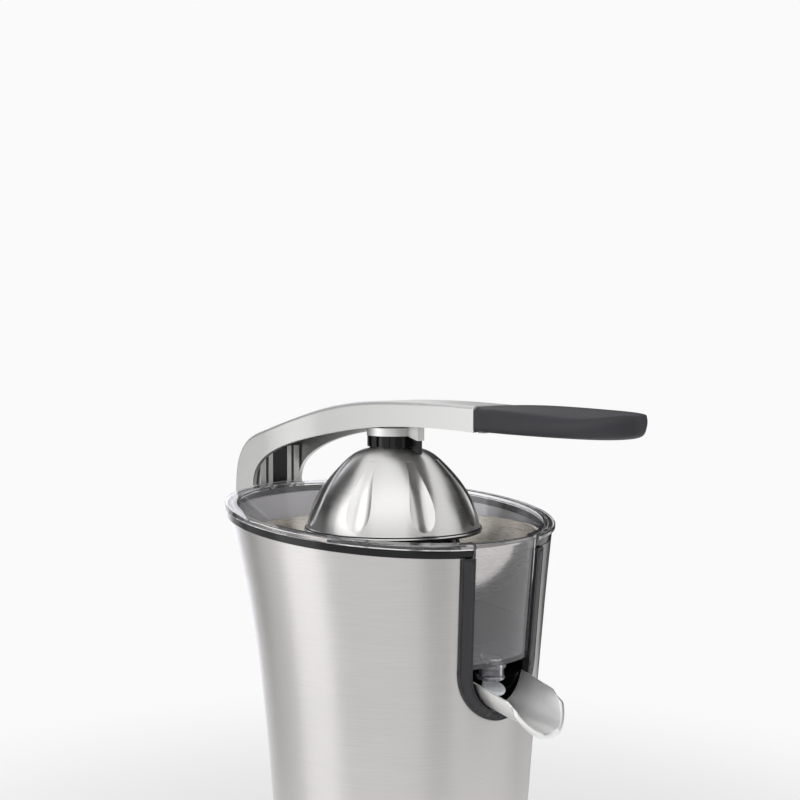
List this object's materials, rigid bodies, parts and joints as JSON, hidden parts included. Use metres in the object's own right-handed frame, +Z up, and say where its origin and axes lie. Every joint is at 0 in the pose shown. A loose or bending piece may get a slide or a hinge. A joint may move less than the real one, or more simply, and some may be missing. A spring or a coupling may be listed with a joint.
{
  "type": "lever citrus juice press",
  "caption": "Motor-driven citrus press: waisted steel body, clear juice bowl with strainer and cone, fluted hood on a hinged lever, fold-up front spout.",
  "frame": {"origin": "centre of the middle foot's underside, on the table", "axes": "+Z up; -Y towards the spout and the lever's grip; +X to the right seen from the back, along the hinge pin"},
  "size_m": [0.19, 0.3013, 0.3149],
  "materials": {
    "body_steel": "fine vertical satin brushing",
    "hood_steel": "satin",
    "spout_steel": "bright polished",
    "strainer_steel": "fine brushed",
    "cast_alloy": "satin, very finely textured",
    "grip_plastic": "soft matte charcoal",
    "black_plastic": "fine matte",
    "clear_plastic": "clear, polished",
    "seal_silicone": "pale translucent silicone",
    "black_rubber": "matte",
    "reamer_plastic": "dark, lightly polished",
    "frame_plastic": "moulded dark grey",
    "gear_plastic": "natural acetal",
    "zinc_steel": "zinc plated",
    "spring_steel": "drawn wire",
    "bearing_bronze": "sintered bronze",
    "ferrite": "matte ceramic magnet",
    "copper_windings": "enamelled wire on a steel core"
  },
  "bodies": {
    "root": {"housing_shell": "body_steel", "rim_ring": "black_plastic", "window_frame": "black_plastic", "spout_recess": "black_plastic", "juice_bowl": "clear_plastic", "strainer": "strainer_steel", "hinge_bracket": "cast_alloy", "tower_insert": "black_plastic", "bracket_screws": "zinc_steel", "spout_pin": "zinc_steel", "chassis": "frame_plastic", "base_plate": "black_plastic", "rubber_feet": "black_rubber", "base_screws": "zinc_steel", "cord_gland": "black_rubber", "gearbox_housing": "frame_plastic", "gearbox_cover": "frame_plastic", "gearbox_screws": "zinc_steel", "hub_bearings": "bearing_bronze", "idler_axle": "zinc_steel", "motor_can": "zinc_steel", "motor_magnets": "ferrite", "motor_end_cap": "frame_plastic", "motor_bearings": "bearing_bronze", "motor_screws": "zinc_steel", "deck_bush": "bearing_bronze", "shaft_seal": "black_rubber", "start_switch": "frame_plastic", "switch_bracket": "zinc_steel", "switch_screws": "zinc_steel"},
    "lever": {"lever_arm": "cast_alloy", "hood_boss": "cast_alloy", "hood_collar": "black_plastic", "hood_screw": "zinc_steel", "press_hood": "hood_steel", "grip": "grip_plastic", "grip_screw": "zinc_steel", "hinge_pin": "zinc_steel", "pin_caps": "cast_alloy"},
    "spout_body": {"spout": "spout_steel", "spout_carrier": "black_plastic", "spout_plug": "seal_silicone"},
    "drive": {"output_gear": "gear_plastic", "press_spring": "spring_steel"},
    "press": {"drive_shaft": "zinc_steel", "shaft_clip": "spring_steel", "reamer_cone": "reamer_plastic"},
    "idler": {"idler_gear": "gear_plastic"},
    "rotor": {"motor_shaft": "zinc_steel", "motor_armature": "copper_windings", "motor_pinion": "bearing_bronze"},
    "switch_button": {"switch_plunger": "reamer_plastic"}
  },
  "joints": [
    {"name": "lever_lift", "type": "hinge", "parent": "root", "child": "lever", "pos_m": [0, 0.1226, 0.2391], "axis": [-1, 0, 0], "range_deg": [0, 88]},
    {"name": "spout_fold", "type": "hinge", "parent": "root", "child": "spout_body", "pos_m": [0, -0.0639, 0.1604], "axis": [-1, 0, 0], "range_deg": [0, 22]},
    {"name": "drive_spin", "type": "hinge", "parent": "root", "child": "drive", "pos_m": [0, 0.005, 0.157], "axis": [0, 0, 1], "continuous": true},
    {"name": "press_down", "type": "slide", "parent": "drive", "child": "press", "axis": [0, 0, 1], "range_m": [-0.0025, 0], "stiffness_N_per_m": 3000, "springref_m": 0.002, "deforming": ["press_spring"]},
    {"name": "idler_spin", "type": "hinge", "parent": "root", "child": "idler", "pos_m": [-0.02764, -0.02034, 0.152], "axis": [0, 0, 1], "continuous": true},
    {"name": "motor_spin", "type": "hinge", "parent": "root", "child": "rotor", "pos_m": [0, -0.032, 0.11], "axis": [0, 0, 1], "continuous": true},
    {"name": "switch_press", "type": "slide", "parent": "root", "child": "switch_button", "axis": [0, 0, 1], "range_m": [-0.0025, 0]}
  ],
  "couplings": [
    {"joint": "idler_spin", "follows": "drive_spin", "ratio": -4},
    {"joint": "motor_spin", "follows": "drive_spin", "ratio": 16},
    {"joint": "switch_press", "follows": "press_down", "ratio": 1}
  ]
}
